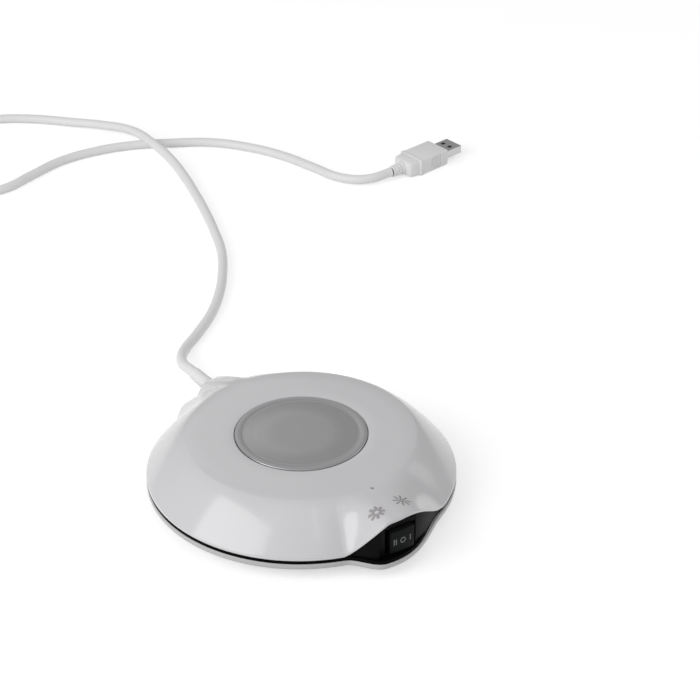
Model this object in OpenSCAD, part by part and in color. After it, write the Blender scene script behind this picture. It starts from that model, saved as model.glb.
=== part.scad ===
// Electric mug warmer: a round white plate with a switch pod at the front and a cord pod at the back.
// Millimetres, +Z up, origin on the table under the plate's centre, switch facing -Y.

/* [Plate] */
// Diameter of the round plate, without its pods
plate_d = 136; // [130:1:140]
// Height of the cover's lower edge above the table
edge_z = 11; // [10.5:0.5:13]
// Rise from the cover's lower edge to its flat top
crown_h = 18.8; // [18.4:0.2:19.2]
// Diameter of the flat top
flat_d = 100; // [98:1:102]
// Wall of the top cover
cover_t = 1.6; // [1.4:0.1:1.8]
// Height of the cover's upright lip, away from the pods
edge_lip = 1; // [0.8:0.1:1.4]

/* [Pods] */
// How far a pod stands out of the round plate
pod_reach = 7.8; // [7.4:0.2:8.4]
// How far the base's rim stands past the cover on the switch's pod
rim_out = 1.2; // [1:0.1:1.4]
// Setback of the flat panels behind the cover's foremost edge
panel_inset = 2.9; // [2.8:0.1:3.2]
// Thickness of the flat panels
panel_t = 1.8; // [1.6:0.1:2]
// Width of the flat panels
panel_w = 19.8; // [19:0.2:20.4]

/* [Base] */
// Height of the table gap under the base
base_z = 2; // [1.8:0.1:2.4]
// Wall of the base
base_t = 2; // [1.8:0.1:2.2]
// Diameter of the base's flat floor
floor_d = 116; // [112:1:118]
// Height of the visible rim
rim_h = 3.2; // [2.9:0.1:3.5]
// Wall of the rim
rim_t = 2.2; // [2:0.1:2.4]
// Height of the black gap ring between base and cover
gap_h = 1.6; // [1.4:0.1:1.8]
// Setback of the gap ring behind the edge
gap_inset = 0.5; // [0.4:0.1:0.9]
// Width of the gap ring
gap_w = 2; // [1.8:0.1:2.2]
// Radius of the rubber feet
foot_r = 5; // [4:0.5:6]
// Distance of the feet from the centre
foot_place = 49; // [46:0.5:50]

/* [Switch] */
// Width of the window for the switch
window_w = 15.2; // [14.8:0.1:15.4]
// Height of the window for the switch
window_h = 12.3; // [11.9:0.1:12.5]
// Width of the rocker's face
cap_w = 12.2; // [11.8:0.1:12.4]
// Height of the rocker's face
cap_h = 10.5; // [10.2:0.1:10.6]
// How far the rocker stands out of the panel
cap_proud = 2; // [1.8:0.1:2.2]
// Depth of the rocker's pivot behind the panel's face
pivot_depth = 5; // [4.8:0.1:5.2]
// Radius of the rocker's pivot pins
pin_r = 0.9; // [0.8:0.05:1]
// Radial running clearance of the pivot pins
pin_fit = 0.05; // [0.03:0.01:0.08]

/* [Heater] */
// Radius of the heater plate
heater_r = 29; // [28:0.5:30]
// Thickness of the heater plate
heater_t = 1.8; // [1.6:0.1:2]
// How far the heater plate stands above the cover
heater_proud = 0.4; // [0.3:0.1:0.6]
// Thickness of the insulation
wool_t = 1.6; // [1.4:0.1:1.8]

/* [Cord] */
// Diameter of the cord
cord_d = 5; // [4.6:0.1:5.2]
// Height of the cord's exit
exit_z = 13.4; // [13.3:0.1:13.6]
// Length of the strain relief outside the panel
relief_l = 18; // [16:1:20]
// Length of the plug's moulding
plug_l = 36; // [34:1:38]
// Width of the plug's moulding
plug_w = 17; // [16:0.5:18]
// Height of the plug's moulding
plug_h = 9.5; // [9:0.1:10]

/* [Hidden] */

$fn = 64;
slip = 0.1;            // gap between parts that fit side by side
seat = 0.02;           // smallest gap between parts that lie on each other
around = 180;          // steps round the plate's outline
steps = 10;            // steps down the cover's slope
crown_power = 1.3;     // how round the slope is: 1 is a plain cone
slope_extra = 0.45;    // extra upright thickness of the wall on the slope

switch_az = -90;
cord_az = 90;
// Each bulge and arch: direction of its middle, ends of its crest, ends of its feet, in degrees
switch_bulge = [-93.8, [1.5, 0.5], [14, 33]];
cord_bulge = [90, [10.5, 10.5], [25.5, 25.5]];
switch_arch = [-89.5, [4, 0], [19.2, 32.3]];
cord_arch = [90, [2.5, 2.5], [8, 8]];
cord_reach = pod_reach - 0.8;
cord_lift = 6.5;           // height of the arch over the cord's exit
band_least = 0.6;          // lowest stretch of a pod's band

plate_r = plate_d / 2;
flat_r = flat_d / 2;
top_z = edge_z + crown_h;
rim_top = edge_z - gap_h;
rim_low = rim_top - rim_h;
rim_round = 0.8;
floor_r = floor_d / 2;
floor_top = base_z + base_t;
face_r = plate_r + pod_reach - panel_inset;
switch_lift = crown_h - cover_t;

panel_edge = 1;             // panel left at the right of its window
window_x = panel_w / 2 - panel_edge - window_w / 2;
window_z = edge_z + window_h / 2;
frame_drop = 1.5;          // setback of the switch's frame behind the panel
frame_t = 0.6;
flange_t = 1;
flange_side = 0.8;
housing_l = 13;
wall_back = 1.5;
well_w = window_w - 2 * (slip + frame_t);
well_h = window_h - 2 * (slip + frame_t);
pivot_y = -face_r + pivot_depth;
face_arc = 40;             // radius of the rocker's bowed face
cap_waist = 8.8;           // width of the rocker at its pivot
cap_back = 1;              // how far the rocker reaches behind its pivot
pin_reach = 0.7;
plunger_r = 1;
plunger_room = 0.1;
plunger_tip = 4.6;         // distance of the plunger's tip behind the pivot
bore_l = 3;
blade_y = 4.9;             // front of the see-saw blade behind the pivot
blade_t = 0.5;
blade_room = 0.08;         // gap between the blade and the tab it tilts on
blade_w = 8.4;
blade_h = 4;
stud_x = 3.8;              // place of the outer contacts
stud_t = 0.3;
stud_r = 0.8;
tab_t = 0.8;
tab_h = 4.8;
tab_out = 3.5;
mark_t = 0.08;
mark_x = 3.8;
mark_h = 2.8;
mark_line = 0.5;

hole_r = heater_r + 0.3;
ledge_r = heater_r - 2.5;
ring_in = heater_r - 4;
ring_out = heater_r + 4;
element_t = 0.6;
ring_h = wool_t + element_t + heater_t - heater_proud - cover_t;
plate_low = top_z + heater_proud - heater_t;
ring_low = top_z - cover_t - ring_h;
press_t = 1;
press_r = heater_r + 3.5;
press_low = ring_low - press_t;
heater_screw_place = heater_r + 0.6;
heater_screw_az = [30, 150, 270];
screw_r = 1.25;
screw_fit = 0.05;
head_r = 2.6;
head_t = 1.7;
heater_screw_l = 1.9;
fuse_r = 1.6;
fuse_l = 9;

boss_r = 3.4;
boss_az = [20, 160, 200, 340];
boss_place = plate_r - 22;
boss_low = 7;
boss_foot_r = 4.6;
head_room = 0.4;
screw_top = 17;
foot_pocket = 0.8;
foot_az = [45, 135, 225, 315];

led_at = [1.6, 21 - face_r];
board = [30, 15, 1.6];
board_y = 26.4 - face_r;
board_z = 12;
post_x = 11.5;
post_r = 2.4;
peg_r = 1;
led_r = 1.5;
led_h = 4;
pipe_r = 0.7;
pipe_guide_h = 5;
resistor_at = [-4, board_y + 3.5];
sun_high_at = [-6.4, 6.2 - face_r];
sun_low_at = [7.3, 7.7 - face_r];
sun_r = 3.6;
print_t = 0.1;
print_sink = 0.05;
sun_rays = 8;

relief_bore = cord_d / 2 + 0.05;
neck_r = 3;
collar_r = 3.7;
collar_t = 2;
tip_r = 2.95;
flange_r = 4.4;
relief_flange_t = 1.5;
clamp_at = face_r - 14.9;   // place of the cord clamp's middle from the plate's axis
clamp = [18, 6, 5];
clamp_gap = 0.2;
clamp_screw_x = 6.5;
clamp_screw_l = 12;
inner_end = clamp_at - 8;

cord_r = cord_d / 2;
coil_at = [1, 390];
coil_in = 22.4;
coil_out = 35;
coil_h = 10;
plug_at = [204, 221];
plug_turn = 8;
plug_z = plug_h / 2;
tail_l = 8;
tail_r = 3.2;
step_l = 6;
step_in = 1.4;
plug_round = 1.6;
shell = [12, 4.5];
shell_t = 0.3;
shell_out = 12;
shell_in = 7;
tongue_t = 1.9;
contact_t = 0.2;
contact_w = 1;
contact_x = [-3.5, -1, 1, 3.5];

// Middle line of the cord from the cord panel to the coil
route_a = [[2, 104, 10.5], [7, 115, 6.5], [15, 126, 3.2], [28, 136, 2.5], [43, 148, 2.5],
           [58, 164, 2.5], [71, 182, 2.5], [82, 201, 2.5], [90, 221, 2.5], [97, 241, 2.5],
           [103, 261, 2.5], [108, 281, 3.5], [111, 302, 5.5], [111, 322, 7.3], [109, 341, 7.5],
           [101, 360, 5.5], [90, 378, 3.2], [75, 395, 2.5], [57, 407, 2.5], [36, 414, 2.5],
           [14, 420, 2.5]];
// Middle line of the cord from the coil to the plug
route_b = [[-27, 381, 7.5], [-25, 361, 4.5], [-15, 342, 2.5], [1, 331, 2.5], [20, 327, 2.5],
           [41, 333, 2.5], [62, 339, 2.5], [83, 339, 2.5], [104, 334, 2.5], [124, 324, 2.5],
           [143, 312, 2.5], [158, 294, 2.5], [168, 274, 2.5], [174, 253, 2.5], [179, 235, 2.7],
           [189, 223, 3.8], [204, 221, plug_z]];

// ---- shapes shared by the shells ----

function smooth(t) = (1 - cos(180 * min(1, max(0, t)))) / 2;
function wrapped(a) = a - 360 * round(a / 360);
// 1 over a pod's crest and 0 past its feet
function fall(a, pod) =
    let (d = wrapped(a - pod[0]), side = d < 0 ? 0 : 1)
    1 - smooth((abs(d) - pod[1][side]) / (pod[2][side] - pod[1][side]));
function edge_r(a) = plate_r + max(pod_reach * fall(a, switch_bulge), cord_reach * fall(a, cord_bulge));
function lift(a) = max(switch_lift * fall(a, switch_arch), cord_lift * fall(a, cord_arch));
function rise(a) = lift(a) / switch_lift;
function arch_z(a) = edge_z + lift(a);
function lip(a) = edge_lip + (cover_t - edge_lip) * rise(a);
function polar(r, a, z) = [r * cos(a), r * sin(a), z];
// Height of the cover's outside at radius r and direction a
function crown_z(r, a) =
    let (low = arch_z(a) + lip(a), s = min(1, max(0, (r - flat_r) / (edge_r(a) - flat_r))))
    top_z - (top_z - low) * pow(s, crown_power);
azimuths = [for (i = [0 : around - 1]) 360 * i / around];
function rim_r(a) = edge_r(a) + rim_out * fall(a, switch_bulge);
function level(z, inset) = [for (a = azimuths) polar(rim_r(a) - inset, a, z)];
function disc(z, r) = [for (a = azimuths) polar(r, a, z)];

// Closed solid through a stack of rings with equally many points
module loft(rings) {
  n = len(rings[0]);
  last = len(rings) - 1;
  polyhedron(
    points = [for (ring = rings) each ring],
    faces = concat(
      [[for (i = [0 : n - 1]) i]],
      [for (k = [0 : last - 1], i = [0 : n - 1])
        let (j = (i + 1) % n, a = k * n + i, b = a + n, c = (k + 1) * n + j, d = k * n + j)
        each [[a, b, c], [a, c, d]]],
      [[for (i = [n - 1 : -1 : 0]) last * n + i]]));
}

// Closed ring whose section at each direction is one of the given loops
module hoop(loops) {
  n = len(loops[0]);
  count = len(loops);
  polyhedron(
    points = [for (p = loops) each p],
    faces = [for (k = [0 : count - 1], i = [0 : n - 1])
      let (m = (k + 1) % count, j = (i + 1) % n, a = k * n + i, b = m * n + i, c = m * n + j,
           d = k * n + j)
      each [[a, b, c], [a, c, d]]]);
}

module at_pod(a) rotate([0, 0, a + 90]) children();
// Upright plate in a pod's own axes: its front lies this far behind the panel's face
module slab(behind, thick) translate([0, -face_r + behind + thick, 0]) rotate([90, 0, 0])
  linear_extrude(thick) children();
// Round bar along a pod's outward axis, from one distance to another
module bar(near, far, r, r_far = undef) translate([0, -near, exit_z]) rotate([90, 0, 0])
  cylinder(h = far - near, r1 = r, r2 = is_undef(r_far) ? r : r_far);

// ---- shells ----

function cover_loop(a) =
    let (e = edge_r(a), low = arch_z(a), slack = slope_extra * (1 - rise(a)))
    concat(
      [polar(ring_in, a, top_z)],
      [for (k = [0 : steps]) let (r = flat_r + (e - flat_r) * k / steps) polar(r, a, crown_z(r, a))],
      [polar(e, a, low), polar(e - cover_t, a, low)],
      [for (k = [steps - 1 : -1 : 0])
        let (s = k / steps, r = flat_r + (e - cover_t - flat_r) * s)
        polar(r, a, max(low, crown_z(r, a) - cover_t * (1 + slack * s)))],
      [polar(ring_in, a, top_z - cover_t)]);

module top_cover() color("white") difference() {
  union() {
    hoop([for (a = azimuths) cover_loop(a)]);
    translate([0, 0, ring_low]) cylinder(h = top_z - ring_low - cover_t / 2, r = ring_out);
    for (a = boss_az) rotate([0, 0, a]) translate([boss_place, 0, boss_low])
      cylinder(h = top_z - boss_low - cover_t / 2, r = boss_r);
    translate([led_at[0], led_at[1], top_z - cover_t - pipe_guide_h])
      cylinder(h = pipe_guide_h + cover_t / 2, r = pipe_r + 1.2);
  }
  translate([0, 0, plate_low]) cylinder(h = heater_t + 1, r = hole_r);
  translate([0, 0, ring_low - 1]) cylinder(h = ring_h + cover_t + 2, r = ledge_r);
  for (a = boss_az) rotate([0, 0, a]) translate([boss_place, 0, boss_low - 1])
    cylinder(h = screw_top - boss_low + 2, r = screw_r + screw_fit);
  for (a = heater_screw_az) rotate([0, 0, a]) translate([heater_screw_place, 0, ring_low - 1])
    cylinder(h = heater_screw_l + 1.1, r = screw_r + screw_fit);
  translate([led_at[0], led_at[1], top_z - cover_t - pipe_guide_h - 1])
    cylinder(h = pipe_guide_h + cover_t + 2, r = pipe_r + slip / 2);
}

base_outside = [disc(base_z, floor_r), level(rim_low, rim_round), level(rim_low + rim_round, 0),
                level(rim_top, 0)];
base_inside = [disc(floor_top, floor_r - base_t / 2), level(rim_low + rim_round, rim_t),
               level(rim_top + 1, rim_t)];

// Step of the rim that a flat panel stands on
module sill() translate([-panel_w / 2, -plate_r - pod_reach, base_z])
  cube([panel_w, panel_inset + panel_t, rim_top - base_z]);
module saddle() translate([-clamp[0] / 2, -clamp_at - clamp[1] / 2, floor_top - 0.5])
  cube([clamp[0], clamp[1], exit_z - floor_top + 0.5]);

module bottom_shell() color("gainsboro") difference() {
  union() {
    difference() {
      loft(base_outside);
      difference() {
        loft(base_inside);
        for (a = [switch_az, cord_az]) at_pod(a) sill();
      }
    }
    at_pod(cord_az) saddle();
    for (a = boss_az) rotate([0, 0, a]) translate([boss_place, 0, floor_top - 0.5])
      cylinder(h = boss_low - floor_top + 0.5, r = boss_foot_r);
    for (x = [-post_x, post_x]) translate([x, board_y, floor_top - 0.5]) {
      cylinder(h = board_z - floor_top + 0.5, r = post_r);
      cylinder(h = board_z - floor_top + 0.5 + board[2] + 0.6, r = peg_r);
    }
  }
  for (a = boss_az) rotate([0, 0, a]) translate([boss_place, 0, base_z - 1]) {
    cylinder(h = head_t + head_room + 1, r = head_r + 0.3);
    cylinder(h = boss_low, r = screw_r + 0.3);
  }
  for (a = foot_az) rotate([0, 0, a]) translate([foot_place, 0, base_z - 1])
    cylinder(h = foot_pocket + 1, r = foot_r + slip);
  at_pod(cord_az) {
    bar(clamp_at - clamp[1], clamp_at + clamp[1], cord_r + 0.05);
    for (x = [-clamp_screw_x, clamp_screw_x]) translate([x, -clamp_at, exit_z - clamp_screw_l + clamp[2]])
      cylinder(h = clamp_screw_l, r = screw_r + screw_fit);
  }
}

module gap_face() polygon([for (a = azimuths) (rim_r(a) - gap_inset) * [cos(a), sin(a)]]);

module gap_ring() color("black") translate([0, 0, rim_top]) linear_extrude(gap_h) {
  difference() {
    gap_face();
    polygon([for (a = azimuths) (edge_r(a) - gap_inset - gap_w) * [cos(a), sin(a)]]);
    for (a = [switch_az, cord_az]) rotate(a + 90) translate([-panel_w / 2, -face_r - pod_reach])
      square([panel_w, pod_reach + 10]);
  }
  // Ledge in front of the switch panel
  intersection() {
    gap_face();
    rotate(switch_az + 90) translate([-panel_w / 2 - slip, -face_r - pod_reach])
      square([panel_w + 2 * slip, pod_reach - seat]);
  }
}

// ---- pods ----

// Black band under the arched edge, either side of the switch panel
module switch_band() color("black") difference() {
  shown = [for (a = azimuths) if (abs(wrapped(a - switch_az)) < 40 && lift(a) > band_least) a];
  loft([for (a = shown) let (r = edge_r(a)) [
    polar(r - 0.6, a, edge_z), polar(r - rim_t, a, edge_z),
    polar(r - rim_t, a, arch_z(a) - seat), polar(r - 0.6, a, arch_z(a) - seat)]]);
  at_pod(switch_az) translate([-panel_w / 2, -plate_r - pod_reach - 1, 0])
    cube([panel_w, pod_reach + 10, top_z]);
}

// Flat panel's front outline, with its top just under the arched edge
module panel_outline(pod_az) {
  half = panel_w / 2 - slip;
  xs = [for (i = [-6 : 6]) half * i / 6];
  polygon(concat(
    [[half, rim_top], [-half, rim_top]],
    [for (x = xs) [x, arch_z(pod_az + atan2(x, face_r - panel_t)) - slip]]));
}

module switch_panel() color("#171717") at_pod(switch_az) slab(0, panel_t) difference() {
  panel_outline(switch_az);
  translate([window_x, window_z]) square([window_w, window_h], center = true);
}

module cord_panel() color("#171717") at_pod(cord_az) slab(0, panel_t) difference() {
  panel_outline(cord_az);
  translate([0, exit_z]) circle(neck_r + slip);
}

// ---- switch ----

module block(behind, thick, w, h) slab(behind, thick) translate([window_x, window_z])
  square([w, h], center = true);
// Vertical bar, box or strip placed from the rocker's pivot
module at_pivot() translate([window_x, pivot_y, window_z]) children();

module switch_housing() color("#111111") at_pod(switch_az) difference() {
  union() {
    block(frame_drop, housing_l, window_w - 2 * slip, window_h - 2 * slip);
    block(panel_t, flange_t, window_w + 2 * flange_side, window_h + 1.6);
  }
  block(frame_drop - 1, housing_l - wall_back + 1, well_w, well_h);
  at_pivot() cylinder(h = cap_h + 2 * pin_reach + 0.6, r = pin_r + pin_fit, center = true);
  for (x = [-stud_x, 0, stud_x]) at_pivot() translate([x, housing_l, 0])
    cube([tab_t + slip, housing_l, tab_h + slip], center = true);
}

module cap_face(extra) translate([0, face_arc - pivot_depth - cap_proud])
  circle(face_arc + extra, $fn = 128);

module rocker_cap() color("#2c2c2c") at_pivot() difference() {
  union() {
    linear_extrude(cap_h, center = true) intersection() {
      polygon([[-cap_w / 2, -pivot_depth - cap_proud], [cap_w / 2, -pivot_depth - cap_proud],
               [cap_waist / 2, cap_back], [-cap_waist / 2, cap_back]]);
      cap_face(0);
    }
    cylinder(h = cap_h + 2 * pin_reach, r = pin_r, center = true);
  }
  translate([0, cap_back - bore_l, 0]) rotate([-90, 0, 0])
    cylinder(h = bore_l + 1, r = plunger_r + plunger_room);
}

// Raised print on the rocker's bowed face, cut from a front outline
module face_print() color("#b4b4b4") at_pivot() intersection() {
  translate([0, -pivot_depth, 0]) rotate([90, 0, 0]) linear_extrude(cap_proud + 1) children();
  linear_extrude(cap_h, center = true) difference() {
    cap_face(mark_t);
    cap_face(0);
  }
}

module rocker_mark_high() face_print() for (x = [-mark_line, mark_line])
  translate([x - mark_x, 0]) square([mark_line, mark_h], center = true);
module rocker_mark_off() face_print() difference() {
  circle(mark_h / 2);
  circle(mark_h / 2 - mark_line);
}
module rocker_mark_low() face_print() translate([mark_x, 0])
  square([mark_line, mark_h], center = true);

module rocker_plunger() color("silver") at_pivot() {
  plunger_l = plunger_tip - plunger_r - cap_back + bore_l - 2;
  translate([0, plunger_tip - plunger_r, 0]) {
    rotate([90, 0, 0]) cylinder(h = plunger_l, r = plunger_r);
    sphere(plunger_r);
  }
}

spring_wire = 0.18;
spring_turns = 3;
module rocker_spring() color("silver") at_pivot() tube([for (i = [0 : 12 * spring_turns])
  let (a = 30 * i, r = plunger_r - spring_wire)
  [r * cos(a), cap_back - bore_l + spring_wire + 0.05 + i * 1.6 / (12 * spring_turns), r * sin(a)]],
  spring_wire, 6);

module contact_blade() color("#c8a060") at_pivot() {
  translate([-blade_w / 2, blade_y, -blade_h / 2]) cube([blade_w, blade_t, blade_h]);
  for (x = [-stud_x, stud_x]) translate([x, blade_y + blade_t, 0]) rotate([-90, 0, 0])
    cylinder(h = stud_t, r = stud_r);
}

// Three tabs: the middle one carries the blade, the outer ones are its contacts
module switch_terminals() color("#c8a060") at_pivot() {
  tab_end = housing_l - (pivot_depth - frame_drop) + tab_out;
  for (x = [-stud_x, 0, stud_x]) {
    start = x == 0 ? blade_y + blade_t + blade_room : blade_y + blade_t + 0.9;
    translate([x - tab_t / 2, start, -tab_h / 2]) cube([tab_t, tab_end - start, tab_h]);
  }
}

// ---- heater ----

module heater_plate() color("#c9c9cc") translate([0, 0, plate_low])
  cylinder(h = heater_t, r = heater_r, $fn = 128);
module heating_element() color("#b88a3c") translate([0, 0, plate_low - element_t])
  cylinder(h = element_t, r = ledge_r - 1);
module insulation_pad() color("ivory") translate([0, 0, press_low + press_t])
  cylinder(h = plate_low - element_t - press_low - press_t, r = ledge_r - 0.5);
module pressure_plate() color("silver") difference() {
  translate([0, 0, press_low]) cylinder(h = press_t, r = press_r);
  for (a = heater_screw_az) rotate([0, 0, a]) translate([heater_screw_place, 0, press_low - 1])
    cylinder(h = press_t + 2, r = screw_r + 0.25);
}

// Pan head screw pointing up, head below z
module screw(z, shank) translate([0, 0, z]) difference() {
  union() {
    translate([0, 0, -head_t]) cylinder(h = head_t, r = head_r);
    cylinder(h = shank, r = screw_r);
  }
  translate([0, 0, -head_t - 0.1]) for (a = [0, 90]) rotate([0, 0, a])
    translate([-1.5, -0.3, 0]) cube([3, 0.6, 0.9]);
}

module heater_screws() color("silver") for (a = heater_screw_az) rotate([0, 0, a])
  translate([heater_screw_place, 0, 0]) screw(press_low, press_t + heater_screw_l);
module base_screws() color("silver") for (a = boss_az) rotate([0, 0, a])
  translate([boss_place, 0, 0]) screw(base_z + head_t + head_room, screw_top - base_z - head_t - head_room);

fuse_z = press_low - fuse_r - seat;
module thermal_fuse() color("#d8c9a8") translate([0, 8, fuse_z]) rotate([0, 90, 0]) {
  cylinder(h = fuse_l, r = fuse_r, center = true);
  cylinder(h = fuse_l + 8, r = 0.4, center = true);
}
module fuse_clip() color("silver") translate([0, 8, fuse_z]) difference() {
  translate([-2, -3.5, -fuse_r - 0.8]) cube([4, 7, 2 * fuse_r + 0.8]);
  rotate([0, 90, 0]) cylinder(h = 6, r = fuse_r + 0.1, center = true);
}

// ---- electronics ----

module control_board() color("darkgreen") difference() {
  translate([-board[0] / 2, board_y - board[1] / 2, board_z]) cube(board);
  for (x = [-post_x, post_x]) translate([x, board_y, board_z - 1])
    cylinder(h = board[2] + 2, r = peg_r + slip);
}
module indicator_led() color("red") translate([led_at[0], led_at[1], board_z + board[2]]) {
  cylinder(h = 1, r = led_r + 0.3);
  cylinder(h = led_h - led_r, r = led_r);
  translate([0, 0, led_h - led_r]) sphere(led_r);
}
module led_resistor() color("tan") translate([resistor_at[0], resistor_at[1], board_z + board[2] + 1.1])
  rotate([0, 90, 0]) {
    cylinder(h = 6, r = 1.1, center = true);
    cylinder(h = 9, r = 0.3, center = true);
  }
pipe_low = board_z + board[2] + led_h + 0.3;
module light_pipe() color("#e8b0a8") translate([led_at[0], led_at[1], pipe_low]) {
  cylinder(h = crown_z(norm(led_at), atan2(led_at[1], led_at[0])) - pipe_low, r = pipe_r);
  cylinder(h = 1, r = pipe_r + 0.6);
}

// Round tube swept along a line of points that never turns straight up
module tube(path, r, sides) {
  last = len(path) - 1;
  loft([for (i = [0 : last])
    let (along = path[min(last, i + 1)] - path[max(0, i - 1)],
         side = cross(along, [0, 0, 1]) / norm(cross(along, [0, 0, 1])),
         up = cross(side, along / norm(along)))
    [for (k = [0 : sides - 1]) let (t = -360 * k / sides) path[i] + r * (cos(t) * side + sin(t) * up)]]);
}

// Points of a path with one more point between each two, on a smooth curve through them
function finer(p) = let (last = len(p) - 1) [for (i = [0 : last]) each i == last ? [p[i]] :
    [p[i], (9 * (p[i] + p[i + 1]) - p[max(0, i - 1)] - p[min(last, i + 2)]) / 16]];

wire_r = 0.8;
tab_y = pivot_y + housing_l - (pivot_depth - frame_drop) + tab_out;
function in_cord_pod(x, out, z) =
    let (t = cord_az + 90) [x * cos(t) + out * sin(t), x * sin(t) - out * cos(t), z];
module wire(path) tube(finer(path), wire_r, 6);
wire_deck = press_low - 4.8;
module wire_supply() color("red") wire([in_cord_pod(-1, inner_end - 0.7, exit_z),
  [14, inner_end - 12, exit_z - 0.4], [22, 20, floor_top + 4], [24, 0, floor_top + 2],
  [22, -20, floor_top + 2], [20, board_y + 8.5, floor_top + 3],
  [16, board_y - 6.5, floor_top + 4.5], [8, tab_y - 2, window_z - 5.65],
  [window_x, tab_y - 2, window_z - tab_h / 2 - wire_r]]);
module wire_return() color("#202020") wire([in_cord_pod(1, inner_end - 0.7, exit_z),
  [-14, inner_end - 10, exit_z - 1.4], [-18, 24, floor_top + 5], [-14, 12, floor_top + 8],
  [-10, 8.5, fuse_z - 2.4],
  [-fuse_l / 2 - 3.6, 8, fuse_z - 0.8 - wire_r]]);
module wire_high() color("orange") wire([[window_x - stud_x, tab_y - 2, window_z + tab_h / 2 + wire_r],
  [-7, board_y - 1.5, wire_deck], [-12, board_y + 8.5, wire_deck], [-14, -24, wire_deck],
  [-12, -12, wire_deck + 0.6], [-9, -4, press_low - wire_r - seat]]);
module wire_low() color("yellow") wire([[window_x + stud_x, tab_y - 2, window_z + tab_h / 2 + wire_r],
  [10, board_y + 1.5, wire_deck], [14, board_y + 10.5, wire_deck], [14, -24, wire_deck],
  [12, -12, wire_deck + 0.6], [9, -4, press_low - wire_r - seat]]);

// ---- cord ----

module cord_clamp() color("white") at_pod(cord_az) difference() {
  translate([-clamp[0] / 2, -clamp_at - clamp[1] / 2, exit_z + clamp_gap])
    cube([clamp[0], clamp[1], clamp[2] - clamp_gap]);
  bar(clamp_at - clamp[1], clamp_at + clamp[1], cord_r + 0.05);
  for (x = [-clamp_screw_x, clamp_screw_x]) translate([x, -clamp_at, exit_z])
    cylinder(h = clamp[2] + 1, r = screw_r + 0.25);
}
module clamp_screws() color("silver") at_pod(cord_az) for (x = [-clamp_screw_x, clamp_screw_x])
  translate([x, -clamp_at, exit_z + clamp[2]]) rotate([180, 0, 0]) screw(0, clamp_screw_l - 0.5);
module strain_relief() color("white") at_pod(cord_az) difference() {
  union() {
    bar(face_r - panel_t - relief_flange_t - seat, face_r - panel_t - seat, flange_r);
    bar(face_r - panel_t - relief_flange_t, face_r + 1, neck_r);
    bar(face_r + seat, face_r + collar_t, collar_r);
    bar(face_r + collar_t, face_r + relief_l, collar_r - 0.3, tip_r);
  }
  bar(face_r - 10, face_r + relief_l + 1, relief_bore);
}
module inner_cord() color("white") at_pod(cord_az) bar(inner_end, face_r - seat, cord_r);

// The cord stays straight in its strain relief and a little past it
in_relief = [for (out = [0, relief_l, relief_l + 4]) in_cord_pod(0, face_r + out, exit_z)];
module cord_lead_a() color("white") tube(finer(concat(in_relief, route_a)), cord_r, 10);
module cord_lead_b() color("white") tube(finer(route_b), cord_r, 10);
module cord_coil() color("white") translate([coil_at[0], coil_at[1], 0]) rotate_extrude($fn = 96)
  translate([coil_in, 0]) square([coil_out - coil_in, coil_h]);

// ---- plug ----

module at_plug() translate([plug_at[0], plug_at[1], 0]) rotate([0, 0, plug_turn]) children();
module rounded(w, h, r) {
  square([w - 2 * r, h], center = true);
  square([w, h - 2 * r], center = true);
  for (x = [-1, 1], y = [-1, 1]) translate([x * (w / 2 - r), y * (h / 2 - r)]) circle(r);
}
// Bar with a rounded section along the plug's own axis
module along_plug(from, long, w, h, r) translate([from, 0, plug_z]) rotate([90, 0, 90])
  linear_extrude(long) rounded(w, h, r);

module plug_moulding() color("white") at_plug() difference() {
  union() {
    translate([0, 0, plug_z]) rotate([0, 90, 0]) cylinder(h = tail_l, r1 = tail_r, r2 = tail_r + 0.8);
    along_plug(tail_l, step_l + 1, plug_w - 2 * step_in, plug_h - step_in, plug_round);
    along_plug(tail_l + step_l, plug_l - tail_l - step_l, plug_w, plug_h, plug_round);
  }
  along_plug(plug_l - shell_in, shell_in + 1, shell[0] + slip, shell[1] + slip, 0.5);
}
module plug_shell() color("silver") at_plug() difference() {
  along_plug(plug_l - shell_in + seat, shell_in + shell_out, shell[0], shell[1], 0.5);
  along_plug(plug_l - shell_in + 1, shell_in + shell_out, shell[0] - 2 * shell_t,
             shell[1] - 2 * shell_t, 0.2);
}
tongue_low = plug_z + shell[1] / 2 - shell_t - slip - tongue_t;
module plug_tongue() color("#303030") at_plug()
  translate([plug_l - shell_in + 1.02, -shell[0] / 2 + shell_t + slip, tongue_low])
    cube([shell_in + shell_out - 2, shell[0] - 2 * (shell_t + slip), tongue_t]);
module plug_contacts() color("gold") at_plug() for (x = contact_x)
  translate([plug_l, x - contact_w / 2, tongue_low - contact_t])
    cube([shell_out - 2.5, contact_w, contact_t]);

// ---- small parts and prints ----

module rubber_feet() color("dimgray") for (a = foot_az) rotate([0, 0, a]) translate([foot_place, 0, 0])
  cylinder(h = base_z + foot_pocket, r = foot_r);

// Lays a print, drawn flat, on the cover's slope at a place on its top
module on_cover(at) intersection() {
  middle = atan2(at[1], at[0]);
  loft([for (a = azimuths) if (abs(wrapped(a - middle)) < 5)
    let (far = [for (k = [0 : steps]) flat_r + (edge_r(a) - flat_r) * k / steps])
    concat(
      [for (k = [steps : -1 : 0]) polar(far[k], a, crown_z(far[k], a) - print_sink)],
      [for (r = far) polar(r, a, crown_z(r, a) + print_t)])]);
  translate([at[0], at[1], edge_z]) linear_extrude(crown_h + 1) children();
}
module sun(ring, line, from, to, ray) {
  difference() {
    circle(ring);
    circle(ring - line);
  }
  for (i = [0 : sun_rays - 1]) rotate([0, 0, 360 * (i + 0.5) / sun_rays])
    translate([from, -ray / 2]) square([to - from, ray]);
}
module high_heat_mark() color("#8c8c8c") on_cover(sun_high_at) sun(1.7, 0.8, 1.4, sun_r, 1.3);
module low_heat_mark() color("#8c8c8c") on_cover(sun_low_at) sun(1, 0.4, 1.5, sun_r + 0.3, 0.5);

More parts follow.
